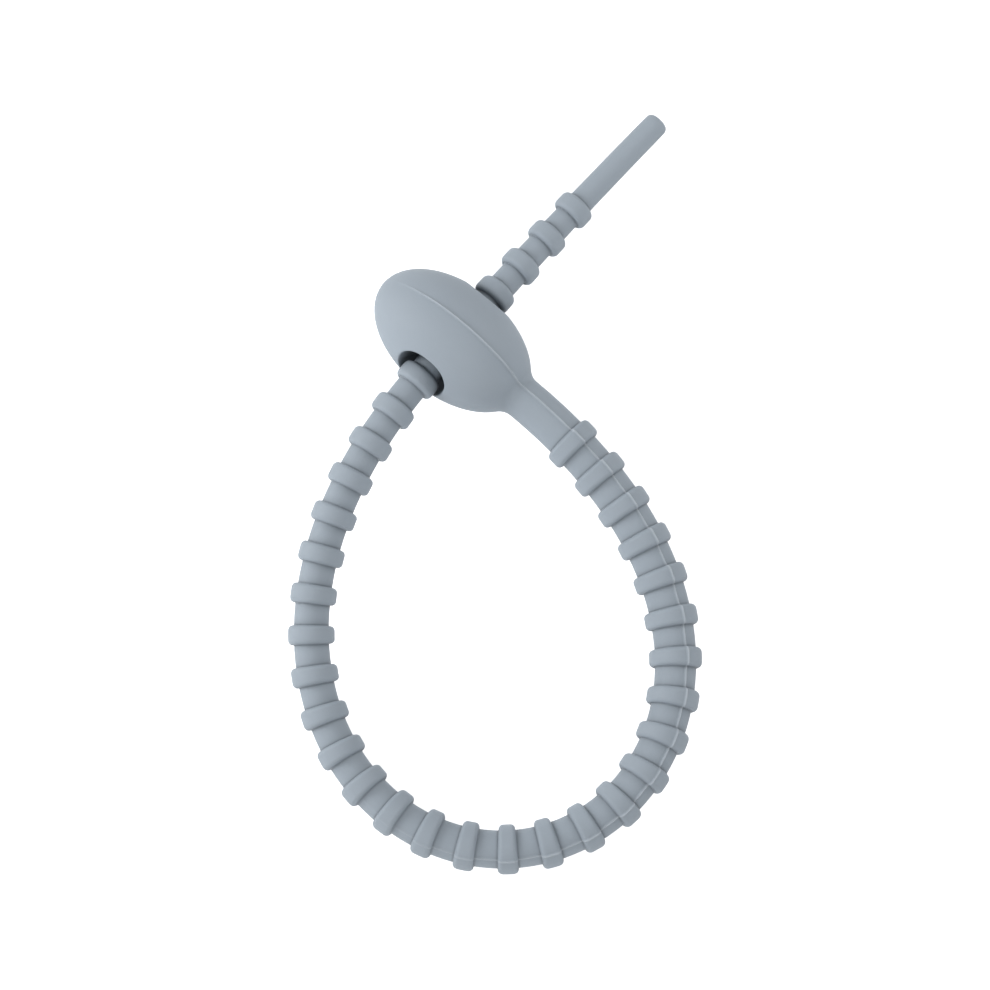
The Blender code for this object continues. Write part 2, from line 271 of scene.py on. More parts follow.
class Route:
    """The strap's middle line and its sections, read by distance from the head's middle."""

    def __init__(self, tie):
        self.head, self.strap, self.lie = tie.head, tie.strap, tie.lie
        head, strap = tie.head, tie.strap
        self.first_rib = head.length / 2 + head.neck_length
        self.loop_end = self.first_rib + (strap.ribs_in_loop - 0.5) * strap.pitch
        self.last_rib = self.first_rib + (strap.ribs_in_loop + strap.ribs_past_lip - 1) * strap.pitch
        self.rod_start = self.last_rib + strap.rib_length / 2
        self.end = self.rod_start + strap.rod_length
        self.head_z = math.hypot(head.width * math.sin(head.roll), head.height * math.cos(head.roll)) / 2
        self.lip_z = self.head_z - head.lip_shift * math.sin(head.roll)
        s, x, y, z = self.loop()
        more = self.tail((x[-1], y[-1]))
        self.s = np.concatenate((s, more[0][1:]))
        self.points = np.column_stack([np.concatenate((a, b[1:])) for a, b in zip((x, y, z), more[1:])])

    def half_sizes(self, s):
        """Half the strap's thickness and half its width, between the ribs."""
        strap = self.strap
        f = np.clip((s - self.first_rib) / (self.last_rib - self.first_rib), 0, 1) ** strap.taper_power
        thickness = strap.thickness_first + (strap.thickness_last - strap.thickness_first) * f
        width = strap.width_first + (strap.width_last - strap.width_first) * f
        return thickness / 2, width / 2

    def lean(self, s):
        """How far the strap's width leans outward from upright."""
        f = np.clip((s - self.first_rib) / self.lie.lean_run, 0, 1)
        climb = np.clip(1 - (self.loop_end - s) / self.lie.climb, 0, 1)
        lean = self.head.roll + (self.lie.lean - self.head.roll) * np.sin(math.pi / 2 * f)
        return lean + self.lie.climb_lean * ease(climb)

    def ground_height(self, s):
        """Height of the strap's middle line where its ribs lie on the ground."""
        thickness, width = self.half_sizes(s)
        rib = self.strap.rib_height
        return np.hypot((width + rib) * np.cos(self.lean(s)), (thickness + rib) * np.sin(self.lean(s)))

    def loop_height(self, s):
        """Height of the middle line: down from the neck, along the ground and up to the hole."""
        ground = self.ground_height(s)
        fall = np.clip(1 - (s - self.head.length / 2) / self.lie.fall, 0, 1)
        climb = np.clip(1 - (self.loop_end - s) / self.lie.climb, 0, 1)
        height = ground + (self.head_z - ground) * ease(fall)
        height += (self.lip_z - self.ground_height(self.loop_end)) * ease(climb)
        return height - self.lie.climb * math.tan(self.head.roll) * end_slope(climb)

    def tail_height(self, s):
        """Height of the tail's middle line, from the hole down to the rod's end on the ground."""
        run = self.end - self.loop_end
        f = (s - self.loop_end) / run
        height = self.lip_z + (self.strap.rod_tip_diameter / 2 - self.lip_z) * ease(f)
        height -= math.tan(self.head.roll) * run * start_slope(f)
        return height - self.lie.tail_slope * run * end_slope(f)

    def loop(self):
        """Distances and places of the loop's middle line, bent so that it closes at the lip."""
        head = self.head
        s = np.linspace(0, self.loop_end, ROUTE_STEPS + 1)
        step = s[1]
        height = self.loop_height(s)
        u = np.clip((s - head.length / 2) / (self.loop_end - head.length / 2 - head.width / 2), 0, 1)
        shape = BEND_COS_2 * np.sin(2 * FULL_TURN * u) / (2 * FULL_TURN)
        shape += BEND_SIN_2 * (1 - np.cos(2 * FULL_TURN * u)) / (2 * FULL_TURN)
        shape += BEND_COS_3 * np.sin(3 * FULL_TURN * u) / (3 * FULL_TURN)

        def heading(even, odd):
            swing = even * np.sin(FULL_TURN * u) + odd * (1 - np.cos(FULL_TURN * u))
            return -head.turn - HOLE_TURN * (u + swing / FULL_TURN + shape)

        def end(even, odd):
            x, y = run_along(heading(even, odd), height, step, (0, 0))
            return np.array((x[-1], y[-1]))

        hole_heading = -head.turn - HOLE_TURN
        through_hole = np.array((math.cos(hole_heading), math.sin(hole_heading)))
        goal = head.lip_shift * math.cos(head.roll) * through_hole
        bend = np.array(FIRST_BEND)
        for _ in range(CLOSING_ROUNDS):
            here = end(*bend)
            change_even = (end(bend[0] + BEND_NUDGE, bend[1]) - here) / BEND_NUDGE
            change_odd = (end(bend[0], bend[1] + BEND_NUDGE) - here) / BEND_NUDGE
            bend = bend - np.linalg.solve(np.column_stack((change_even, change_odd)), here - goal)
        x, y = run_along(heading(*bend), height, step, (0, 0))
        return s, x, y, height

    def tail(self, start):
        """Distances and places of the tail's middle line, from the lip to the rod's end."""
        s = np.linspace(self.loop_end, self.end, ROUTE_STEPS // 4 + 1)
        f = (s - self.loop_end) / (self.end - self.loop_end)
        height = self.tail_height(s)
        heading = -self.head.turn - HOLE_TURN + self.lie.tail_bend * f
        x, y = run_along(heading, height, s[1] - s[0], start)
        return s, x, y, height

    def place(self, s):
        return Vector([float(np.interp(s, self.s, self.points[:, axis])) for axis in range(3)])

    def section(self, s):
        """The middle line's place, and the strap's thickness and width directions there."""
        along = (self.place(s + DIRECTION_STEP) - self.place(s - DIRECTION_STEP)).normalized()
        outward = UP.cross(along).normalized()
        upright = along.cross(outward)
        lean = float(self.lean(s))
        across = outward * math.cos(lean) - upright * math.sin(lean)
        wide = upright * math.cos(lean) + outward * math.sin(lean)
        return self.place(s), across, wide


class TreeBuilder:
    """Adds nodes to a tree. A node's inputs are numbers or the outputs of other nodes."""

    def __init__(self, tree):
        self.tree = tree

    def give(self, node, inputs):
        """Sets a node's inputs, found by name or by number."""
        pairs = inputs.items() if isinstance(inputs, dict) else enumerate(inputs)
        for key, value in pairs:
            if isinstance(value, bpy.types.NodeSocket):
                self.tree.links.new(value, node.inputs[key])
            else:
                node.inputs[key].default_value = value

    def node(self, kind, inputs=(), **options):
        made = self.tree.nodes.new(kind)
        for name, value in options.items():
            setattr(made, name, value)
        self.give(made, inputs)
        return made

    def out(self, kind, inputs=(), **options):
        """The first output of a new node."""
        return self.node(kind, inputs, **options).outputs[0]

    def math(self, operation, *inputs):
        return self.out("ShaderNodeMath", inputs, operation=operation)

    def vector(self, operation, *inputs):
        return self.out("ShaderNodeVectorMath", inputs, operation=operation)

    def scaled(self, vector, factor):
        return self.out("ShaderNodeVectorMath", {0: vector, "Scale": factor}, operation="SCALE")

    def ramp(self, value, low, high, shape="SMOOTHSTEP"):
        """Goes from 0 to 1 as the value goes from low to high."""
        inputs = {"Value": value, "From Min": low, "From Max": high}
        return self.out("ShaderNodeMapRange", inputs, interpolation_type=shape)

    def pick(self, test, if_true, if_false):
        """One of two numbers, by a test that is 0 or 1."""
        inputs = {"Switch": test, "True": if_true, "False": if_false}
        return self.out("GeometryNodeSwitch", inputs, input_type="FLOAT")

    def choose(self, index, values):
        """One of several numbers, by a whole number from 0."""
        switch = self.node("GeometryNodeIndexSwitch", data_type="FLOAT")
        while len(switch.index_switch_items) < len(values):
            switch.index_switch_items.new()
        self.give(switch, (index, *values))
        return switch.outputs[0]

    def store(self, geometry, name, value):
        inputs = {"Geometry": geometry, "Name": name, "Value": value}
        return self.out("GeometryNodeStoreNamedAttribute", inputs, data_type="FLOAT", domain="POINT")

    def stored(self, name):
        return self.out("GeometryNodeInputNamedAttribute", {"Name": name}, data_type="FLOAT")

    def blend(self, factor, first, second):
        """A mix of two colours: the first where the factor is 0, the second where it is 1."""
        first, second = (each if isinstance(each, bpy.types.NodeSocket) else (*each, 1.0)
                         for each in (first, second))
        mix = self.node("ShaderNodeMix", {"Factor": factor, 6: first, 7: second}, data_type="RGBA")
        return mix.outputs[2]


def add_object(name, data):
    made = bpy.data.objects.new(name, data)
    bpy.context.collection.objects.link(made)
    return made


# Numbers that the strap's tree is given
STRAP_NUMBERS = (
    "First rib", "Neck start", "End", "Rib pitch", "Rib length", "Rib height", "Rib edge", "Rib root",
    "First thickness", "Last thickness", "First width", "Last width", "Taper", "Rod diameter",
    "Rod tip diameter", "Rod edge", "Seam height", "Seam width", "Keel", "Keel width", "Fades from",
    "Fades by",
)


def strap_outline(b, given):
    """The strap's outline as if it were straight: distance along X, and rise above the shaft along Y."""
    half_rib = b.math("MULTIPLY", given["Rib length"], 0.5)
    support = b.math("MULTIPLY_ADD", given["Rib edge"], -EDGE_ROOM, half_rib)
    gap = b.math("SUBTRACT", given["Rib pitch"], given["Rib length"])
    first_root = b.math("SUBTRACT", given["First rib"], half_rib)
    rib_points = b.math("MULTIPLY", given["Ribs"], RIB_ROWS)
    rod_from = b.math("ADD", rib_points, NECK_ROWS)
    count = b.math("ADD", rod_from, ROD_ROWS)

    line = b.out("GeometryNodeCurvePrimitiveLine")
    line = b.out("GeometryNodeResampleCurve", {"Curve": line, "Count": count}, mode="COUNT")
    index = b.out("GeometryNodeInputIndex")

    # Tests on a point's index have their limit half way between two whole numbers
    in_ribs = b.math("SUBTRACT", index, NECK_ROWS)
    rib = b.math("FLOOR", b.math("DIVIDE", b.math("ADD", in_ribs, 0.5), RIB_ROWS))
    corner = b.math("SUBTRACT", in_ribs, b.math("MULTIPLY", rib, RIB_ROWS))
    left = b.math("MULTIPLY", half_rib, -1.0)
    left_support = b.math("MULTIPLY", support, -1.0)
    shaft = [b.math("MULTIPLY_ADD", gap, part, half_rib) for part in SHAFT_PARTS]
    flat = [0.0] * len(SHAFT_PARTS)
    offset = b.choose(corner, [left, left, left_support, support, half_rib, half_rib] + shaft)
    rib_middle = b.math("MULTIPLY_ADD", rib, given["Rib pitch"], given["First rib"])
    rib_x = b.math("ADD", rib_middle, offset)
    height = given["Rib height"]
    rib_y = b.choose(corner, [0.0, height, height, height, height, 0.0] + flat)
    edge = given["Rib edge"]
    root = given["Rib root"]
    rib_radius = b.choose(corner, [root, edge, 0.0, 0.0, edge, root] + flat)

    neck_run = b.math("SUBTRACT", first_root, given["Neck start"])
    neck_x = b.math("MULTIPLY_ADD", neck_run, b.math("DIVIDE", index, NECK_ROWS), given["Neck start"])

    # The rod's last two points are its end's edge and the rim of a small hole in the end
    in_rod = b.math("SUBTRACT", index, rod_from)
    last_gap_end = b.math("MULTIPLY_ADD", given["Ribs"], given["Rib pitch"], first_root)
    rod_run = b.math("SUBTRACT", given["End"], last_gap_end)
    rod_part = b.math("MINIMUM", b.math("DIVIDE", in_rod, ROD_ROWS - 2), 1.0)
    rod_x = b.math("MULTIPLY_ADD", rod_run, rod_part, last_gap_end)
    is_last = b.math("GREATER_THAN", in_rod, ROD_ROWS - 1.5)
    closing = b.math("MULTIPLY", given["Rod tip diameter"], -TIP_CLOSING / 2)
    rod_y = b.pick(is_last, closing, 0.0)
    is_end = b.math("COMPARE", in_rod, ROD_ROWS - 2, 0.5)
    rod_radius = b.pick(is_end, given["Rod edge"], 0.0)

    is_neck = b.math("LESS_THAN", index, NECK_ROWS - 0.5)
    is_rod = b.math("GREATER_THAN", in_rod, -0.5)
    x = b.pick(is_neck, neck_x, b.pick(is_rod, rod_x, rib_x))
    y = b.pick(is_neck, 0.0, b.pick(is_rod, rod_y, rib_y))
    radius = b.pick(is_neck, 0.0, b.pick(is_rod, rod_radius, rib_radius))
    line = b.store(line, "rounding", radius)
    place = b.out("ShaderNodeCombineXYZ", {"X": x, "Y": y})
    line = b.out("GeometryNodeSetPosition", {"Geometry": line, "Position": place})
    corners = {"Curve": line, 1: CORNER_STEPS, "Radius": b.stored("rounding"), "Limit Radius": True}
    rounded = b.out("GeometryNodeFilletCurve", corners, mode="POLY")
    position = b.out("GeometryNodeInputPosition")
    split = b.node("ShaderNodeSeparateXYZ", [position])
    rounded = b.store(rounded, "distance", split.outputs[0])
    return b.store(rounded, "rise", split.outputs[1])


def strap_tree():
    """Geometry nodes that sweep the ribbed outline along the route that they are given."""
    tree = bpy.data.node_groups.new("ribbed_strap", "GeometryNodeTree")
    kinds = {"Route": "Geometry", "Ribs": "Int", "Silicone": "Material"}
    kinds.update(dict.fromkeys(STRAP_NUMBERS, "Float"))
    for name, kind in kinds.items():
        tree.interface.new_socket(name, in_out="INPUT", socket_type="NodeSocket" + kind)
    tree.interface.new_socket("Strap", in_out="OUTPUT", socket_type="NodeSocketGeometry")
    b = TreeBuilder(tree)
    given = b.node("NodeGroupInput").outputs
    outline = strap_outline(b, given)

    # A ring of numbered columns, swept along the outline
    ring = b.out("GeometryNodeCurvePrimitiveCircle", {"Resolution": COLUMNS}, mode="RADIUS")
    ring = b.store(ring, "column", b.out("GeometryNodeInputIndex"))
    tube = b.out("GeometryNodeCurveToMesh", {"Curve": outline, "Profile Curve": ring})
    column = b.stored("column")
    distance = b.stored("distance")
    rise = b.stored("rise")

    # Half sizes of the section, from the strap's taper or the rod's
    half_rib = b.math("MULTIPLY", given["Rib length"], 0.5)
    ribs_run = b.math("MULTIPLY", b.math("SUBTRACT", given["Ribs"], 1.0), given["Rib pitch"])
    rod_start = b.math("ADD", b.math("ADD", given["First rib"], ribs_run), half_rib)
    from_first = b.math("SUBTRACT", distance, given["First rib"])
    part = b.ramp(from_first, 0.0, ribs_run, "LINEAR")
    taper = b.math("POWER", part, given["Taper"])

    def between(first, last, factor):
        return b.math("MULTIPLY_ADD", b.math("SUBTRACT", last, first), factor, first)

    thickness = between(given["First thickness"], given["Last thickness"], taper)
    width = between(given["First width"], given["Last width"], taper)
    past_rod = b.math("SUBTRACT", distance, rod_start)
    rod_run = b.math("SUBTRACT", given["End"], rod_start)
    rod = between(given["Rod diameter"], given["Rod tip diameter"], b.math("DIVIDE", past_rod, rod_run))
    rod_share = b.ramp(past_rod, 0.0, ROD_BLEND)
    half_across = b.math("MULTIPLY_ADD", between(thickness, rod, rod_share), 0.5, rise)
    half_wide = b.math("MULTIPLY_ADD", between(width, rod, rod_share), 0.5, rise)

    # Angle of the column from the seam, and the side on which it lies
    half_ring = b.math("MODULO", column, 2 * QUARTER_COLUMNS)
    from_side = b.math("ABSOLUTE", b.math("SUBTRACT", half_ring, QUARTER_COLUMNS))
    from_seam = b.math("SUBTRACT", QUARTER_COLUMNS, from_side)
    # On a thin section the columns near the seam come closer together
    reach = b.math("MINIMUM", b.math("MULTIPLY", half_across, 0.5), SEAM_REACH)
    near = b.math("MINIMUM", b.math("DIVIDE", from_seam, SEAM_COLUMNS), 1.0)
    near = b.math("MULTIPLY", b.math("POWER", near, SEAM_SPREAD), reach)
    far_run = QUARTER_COLUMNS - SEAM_COLUMNS
    far = b.math("MAXIMUM", b.math("DIVIDE", b.math("SUBTRACT", from_seam, SEAM_COLUMNS), far_run), 0.0)
    near_angle = b.math("ARCSINE", b.math("DIVIDE", near, half_across))
    reach_angle = b.math("ARCSINE", b.math("DIVIDE", reach, half_across))
    rest = b.math("SUBTRACT", math.pi / 2, reach_angle)
    turn = b.math("MULTIPLY_ADD", rest, far, near_angle)
    across_side = b.pick(b.math("LESS_THAN", column, 2 * QUARTER_COLUMNS - 0.5), 1.0, -1.0)
    from_top = b.math("ABSOLUTE", b.math("SUBTRACT", column, 2 * QUARTER_COLUMNS))
    wide_side = b.pick(b.math("GREATER_THAN", from_top, QUARTER_COLUMNS - 0.5), 1.0, -1.0)
    out_across = b.math("MULTIPLY", b.math("MULTIPLY", half_across, b.math("SINE", turn)), across_side)
    out_wide = b.math("MULTIPLY", b.math("COSINE", turn), half_wide)

    # The seam: a thin crest on a low keel
    seam_distance = b.math("ABSOLUTE", out_across)
    crest_part = b.math("DIVIDE", seam_distance, given["Seam width"])
    crest = b.math("EXPONENT", b.math("MULTIPLY", b.math("MULTIPLY", crest_part, crest_part), -1.0))
    keel_part = b.math("DIVIDE", seam_distance, given["Keel width"])
    keel = b.math("EXPONENT", b.math("MULTIPLY", keel_part, -1.0))
    seam = b.math("MULTIPLY_ADD", crest, given["Seam height"], b.math("MULTIPLY", keel, given["Keel"]))
    tip_drop = b.math("MULTIPLY", given["Rod edge"], -1.0)
    on_tip = b.ramp(rise, tip_drop, 0.0, "LINEAR")
    faded = b.ramp(distance, given["Fades from"], given["Fades by"])
    kept = b.math("MULTIPLY", b.math("SUBTRACT", 1.0, faded), on_tip)
    out_wide = b.math("MULTIPLY_ADD", seam, kept, out_wide)
    out_wide = b.math("MULTIPLY", out_wide, wide_side)
    # The crest's share, which the material uses to paint the crest paler: partly its own tone, partly a
    # painted highlight
    tube = b.store(tube, "crest", b.math("MULTIPLY", crest, kept))

    # The route's place and directions there
    route = b.out("GeometryNodeMeshToCurve", [given["Route"]])
    wanted = {"Curves": route, "Value": b.stored("lean"), "Length": distance}
    sample = b.node("GeometryNodeSampleCurve", wanted, mode="LENGTH", data_type="FLOAT")
    lean = sample.outputs["Value"]
    along = sample.outputs["Tangent"]
    up = b.out("FunctionNodeInputVector", vector=UP)
    outward = b.vector("NORMALIZE", b.vector("CROSS_PRODUCT", up, along))
    upright = b.vector("CROSS_PRODUCT", along, outward)
    cosine = b.math("COSINE", lean)
    sine = b.math("SINE", lean)
    across = b.vector("SUBTRACT", b.scaled(outward, cosine), b.scaled(upright, sine))
    wide = b.vector("ADD", b.scaled(upright, cosine), b.scaled(outward, sine))
    place = b.vector("ADD", sample.outputs["Position"], b.scaled(across, out_across))
    place = b.vector("ADD", place, b.scaled(wide, out_wide))
    strap = b.out("GeometryNodeSetPosition", {"Geometry": tube, "Position": place})
    strap = b.out("GeometryNodeRealizeInstances", [strap])
    strap = b.out("GeometryNodeSetMaterial", {"Geometry": strap, "Material": given["Silicone"]})
    b.node("NodeGroupOutput", [strap])
    return tree


def bake_nodes(carrier, tree, values):
    """Runs a node tree on an object and gives the plain mesh that comes out."""
    modifier = carrier.modifiers.new(tree.name, "NODES")
    modifier.node_group = tree
    for socket in tree.interface.items_tree:
        if socket.in_out == "INPUT" and socket.name in values:
            modifier[socket.identifier] = values[socket.name]
    evaluated = carrier.evaluated_get(bpy.context.evaluated_depsgraph_get())
    mesh = bpy.data.meshes.new_from_object(evaluated)
    carrier.modifiers.clear()
    return mesh


def route_carrier(route):
    """The route as a chain of points that carry the strap's lean."""
    mesh = bpy.data.meshes.new("route")
    count = len(route.s)
    mesh.from_pydata(route.points.tolist(), [(k, k + 1) for k in range(count - 1)], [])
    lean = mesh.attributes.new("lean", "FLOAT", "POINT")
    lean.data.foreach_set("value", route.lean(route.s).astype(np.float32))
    return add_object("route", mesh)


def neck_start(head, route):
    """Distance at which the flare ends and the plain neck begins."""
    return head_flare(head, route)[1] + head.flare_length


def head_flare(head, route):
    """The flare's share of the head's width, and the distance from the head's middle at which it starts."""
    neck_thickness = float(route.half_sizes(0)[0])
    flare_part = (neck_thickness + head.flare) / (head.width / 2)
    return flare_part, head.length / 2 * math.cos(math.asin(flare_part))


class CABLETIE_OT_strap(bpy.types.Operator):
    """Builds the ribbed strap with its rod"""
    bl_idname = "cable_tie.strap"
    bl_label = "Ribbed strap"

    def execute(self, context):
        tie = settings()
        strap = tie.strap
        route = Route(tie)
        carrier = route_carrier(route)
        values = {
            **by_shown_name(strap), **by_shown_name(tie.seam), "Silicone": silicone(tie.finish),
            "First rib": route.first_rib, "Neck start": neck_start(tie.head, route), "End": route.end,
            "Ribs": strap.ribs_in_loop + strap.ribs_past_lip,
        }
        mesh = bake_nodes(carrier, strap_tree(), values)
        bpy.data.objects.remove(carrier)
        if len(mesh.vertices) < COLUMNS * RIB_ROWS:
            raise RuntimeError("the strap came out empty")
        mesh.name = "silicone_tie"
        add_object("silicone_tie", mesh)
        return {"FINISHED"}


def head_axes(head):
    """The head's directions: along its length, through its hole, and up across both."""
    length_axis = Vector((math.cos(-head.turn), math.sin(-head.turn), 0))
    level = UP.cross(length_axis)
    hole = level * math.cos(head.roll) - UP * math.sin(head.roll)
    return length_axis, hole, length_axis.cross(hole)


def head_points(head, route, places):
    """Points for places given along the head, through its hole and up across both."""
    length_axis, hole, rise_axis = head_axes(head)
    centre = Vector((0, 0, route.head_z))
    return [centre + length_axis * a + hole * t + rise_axis * r for a, t, r in places]


def seam_crest(seam, distance):
    """The crest's share of its full height at a distance from the seam."""
    return np.exp(-(distance / seam.width) ** 2)


def seam_rise(seam, distance):
    """How far the surface stands out at a distance from the seam."""
    keel = seam.keel * np.exp(-np.abs(distance) / seam.keel_width)
    return seam.height * seam_crest(seam, distance) + keel


def seam_fade(head, along):
    """The seam's share of its full height at places along the head, none at its far end."""
    return ease(np.clip((along / (head.length / 2) + 1) / SEAM_FADE, 0, 1))


def seam_distances():
    """Distances from the seam of the rows or columns that lie close to it."""
    return SEAM_REACH * (np.arange(SEAM_COLUMNS + 1) / SEAM_COLUMNS) ** SEAM_SPREAD


def head_turns():
    """Angles of the head's columns round its hole, with the neck's window in the middle of them."""
    window = np.linspace(-WINDOW_ANGLE, WINDOW_ANGLE, 2 * WINDOW_COLUMNS + 1)
    free = np.linspace(WINDOW_ANGLE, FULL_TURN - WINDOW_ANGLE, FREE_COLUMNS + 1)[1:-1]
    return np.concatenate((window, free))


def left_over(a, b):
    """The third coordinate of points on a ball of radius 1, from the other two."""
    return np.sqrt(np.maximum(1 - a**2 - b**2, 0))


def outer_surface(head, seam, along, rise, side):
    """Points of the head's outside over places in its middle plane, on one side of the seam."""
    through = head.width / 2 * left_over(along / (head.length / 2), rise / (head.height / 2))
    normal = np.array((along / (head.length / 2) ** 2, rise / (head.height / 2) ** 2))
    normal = normal / np.maximum(np.linalg.norm(normal, axis=0), TINY)
    # The lift dies out about a quarter of the width from the seam, short of the mouth
    near_middle = np.exp(-(through / (head.width / 4)) ** 4)
    lift = seam_rise(seam, through) * near_middle * seam_fade(head, along)
    return np.array((along + normal[0] * lift, side * through, rise + normal[1] * lift))


def head_rows(head, seam, strap, route):
    """Rows of points over the head, each (along, through, rise) for every column.

    They run from the far rim over the seam to the near rim and back through the hole.
    """
    turns = head_turns()
    cosine = np.cos(turns)
    sine = np.sin(turns)
    half_length = head.length / 2
    half_height = head.height / 2
    surface = head.width / 2
    lip_half = (strap.pitch - strap.rib_length) / 2 - head.rib_clearance
    circle = np.array((cosine, sine))
    lip_sizes = np.array(route.half_sizes(route.loop_end)) + head.lip_clearance
    room_sizes = np.array(route.half_sizes(route.loop_end - strap.pitch / 2))
    room_sizes = room_sizes + strap.rib_height + head.rib_clearance
    lip = circle * lip_sizes[:, None]
    room = circle * room_sizes[:, None]
    lower = ease(np.clip((MOUTH_SHOULDER - sine) / MOUTH_SHOULDER_RUN, 0, 1))
    squareness = head.mouth_squareness + (2 - head.mouth_squareness) * lower
    reach = (np.abs(cosine) ** squareness + np.abs(sine) ** squareness) ** (-1 / squareness)
    narrowed = 1 - head.mouth_narrowing * lower
    mouth = np.array((head.mouth_thickness / 2 * cosine * narrowed, head.mouth_width / 2 * sine)) * reach

    def side_rows(side):
        """Rows from the seam to the rim and down the wall to the lip, on one side."""
        lip_face = side * head.lip_shift + lip_half
        corner_at = np.full_like(turns, surface)
        for _ in range(RIM_ROUNDS):
            part = (corner_at - lip_face) / (surface - lip_face)
            corner = room + (mouth - room) * part
            near = np.array((corner[0] / half_length, corner[1] / half_height))
            corner_at = surface * left_over(*near)
        change = circle - near

        def over(level):
            """Places in the middle plane whose share of the outline is given."""
            a = (change**2).sum(axis=0)
            h = (near * change).sum(axis=0)
            c = (near**2).sum(axis=0) - level**2
            t = (-h + np.sqrt(np.maximum(h**2 - a * c, 0))) / a
            spot = near + change * t
            return spot[0] * half_length, spot[1] * half_height

        rows = []
        close = np.arcsin(seam_distances() / surface)
        window = np.linspace(close[-1], WINDOW_ANGLE, WINDOW_ROWS - SEAM_COLUMNS + 1)[1:]
        for beta in np.concatenate((close, window)):
            rows.append(outer_surface(head, seam, *over(np.cos(beta) * np.ones_like(turns)), side))
        away = np.linalg.norm(np.array(over(np.ones_like(turns))) - corner, axis=0)
        rim_share = near + change * (head.rim / away)
        rim_level = np.sqrt((rim_share**2).sum(axis=0))
        rim_beta = np.arccos(np.clip(rim_level, 0, 1))
        for k in range(1, OUTER_ROWS + 1):
            beta = WINDOW_ANGLE + (rim_beta - WINDOW_ANGLE) * k / OUTER_ROWS
            rows.append(outer_surface(head, seam, *over(np.cos(beta)), side))
        rim_end = rows[-1]
        tip = np.array((corner[0], side * corner_at, corner[1]))
        lip_level = np.full_like(turns, side * lip_face)
        foot = np.array((room[0], lip_level, room[1]))
        down = foot - tip
        down_length = np.linalg.norm(down, axis=0)
        rim_foot = tip + down * head.rim / down_length
        for k in range(1, RIM_ROWS + 1):
            f = k / RIM_ROWS
            rows.append((1 - f) ** 2 * rim_end + 2 * f * (1 - f) * tip + f**2 * rim_foot)
        for k in range(1, WALL_ROWS + 1):
            rows.append(rim_foot + (foot - rim_foot) * k / WALL_ROWS)
        edge = head.lip_rounding
        inward = (room - lip) / np.linalg.norm(room - lip, axis=0)
        start = lip + inward * edge
        rows.append(np.array(((room[0] + start[0]) / 2, lip_level, (room[1] + start[1]) / 2)))
        for k in range(LIP_ROWS + 1):
            bend = math.pi / 2 * k / LIP_ROWS
            flat = lip + inward * edge * (1 - math.sin(bend))
            through = side * (lip_face - edge * (1 - math.cos(bend)))
            rows.append(np.array((flat[0], np.full_like(turns, through), flat[1])))
        return rows

    far_side = side_rows(1)
    near_side = side_rows(-1)
    middle = np.array((lip[0], np.full_like(turns, head.lip_shift), lip[1]))
    return far_side[::-1] + near_side[1:] + [middle], len(far_side) - 1


def flare_rows(head, seam, route, window):
    """Rings of points, with the seam's crest on them, from the window's outline to the plain neck.

    Each ring starts at the upper seam and goes round by the hole's far side, as the strap's rings do.
    """
    half_length = head.length / 2
    flare_part, flare_start = head_flare(head, route)
    half_across = flare_part * head.width / 2
    half_wide = flare_part * head.height / 2
    slope = -1 / math.tan(math.asin(flare_part)) / half_length

    def ring_angles(half):
        """Sine and cosine from the seam of every column, with their sides."""
        column = np.arange(COLUMNS)
        from_seam = QUARTER_COLUMNS - np.abs(column % (2 * QUARTER_COLUMNS) - QUARTER_COLUMNS)
        near = seam_distances()[np.minimum(from_seam, SEAM_COLUMNS)]
        far = np.maximum((from_seam - SEAM_COLUMNS) / (QUARTER_COLUMNS - SEAM_COLUMNS), 0)
        turn = np.arcsin(near / half) + (math.pi / 2 - math.asin(SEAM_REACH / half)) * far
        across_side = np.where(column < 2 * QUARTER_COLUMNS, 1, -1)
        wide_side = np.where(np.abs(column - 2 * QUARTER_COLUMNS) >= QUARTER_COLUMNS, 1, -1)
        return np.sin(turn) * across_side, np.cos(turn) * wide_side, wide_side

    rings = []
    sine, cosine, wide_side = ring_angles(half_across)
    goal = np.array((half_across * sine, half_wide * cosine))
    for k in range(1, APPROACH_ROWS + 2):
        f = k / (APPROACH_ROWS + 1)
        through = window[1] + (goal[0] - window[1]) * f
        rise = window[2] + (goal[1] - window[2]) * f
        along = half_length * left_over(through / (head.width / 2), rise / (head.height / 2))
        lift = seam_rise(seam, through) * wide_side
        points = head_points(head, route, zip(along, through, rise + lift))
        rings.append((points, seam_crest(seam, through)))

    thickness, width = (float(size) for size in route.half_sizes(0))
    for k in range(1, FLARE_ROWS):
        f = k / FLARE_ROWS
        tilt = head.flare_length * slope * start_slope(f)
        across_size = half_across + (thickness - half_across) * ease(f) + tilt * head.width / 2
        wide_size = half_wide + (width - half_wide) * ease(f) + tilt * head.height / 2
        place, across, wide = route.section(flare_start + head.flare_length * f)
        sine, cosine, wide_side = ring_angles(across_size)
        out_across = across_size * sine
        out_wide = wide_size * cosine + seam_rise(seam, out_across) * wide_side
        points = [place + across * a + wide * w for a, w in zip(out_across, out_wide)]
        rings.append((points, seam_crest(seam, out_across)))
    return rings


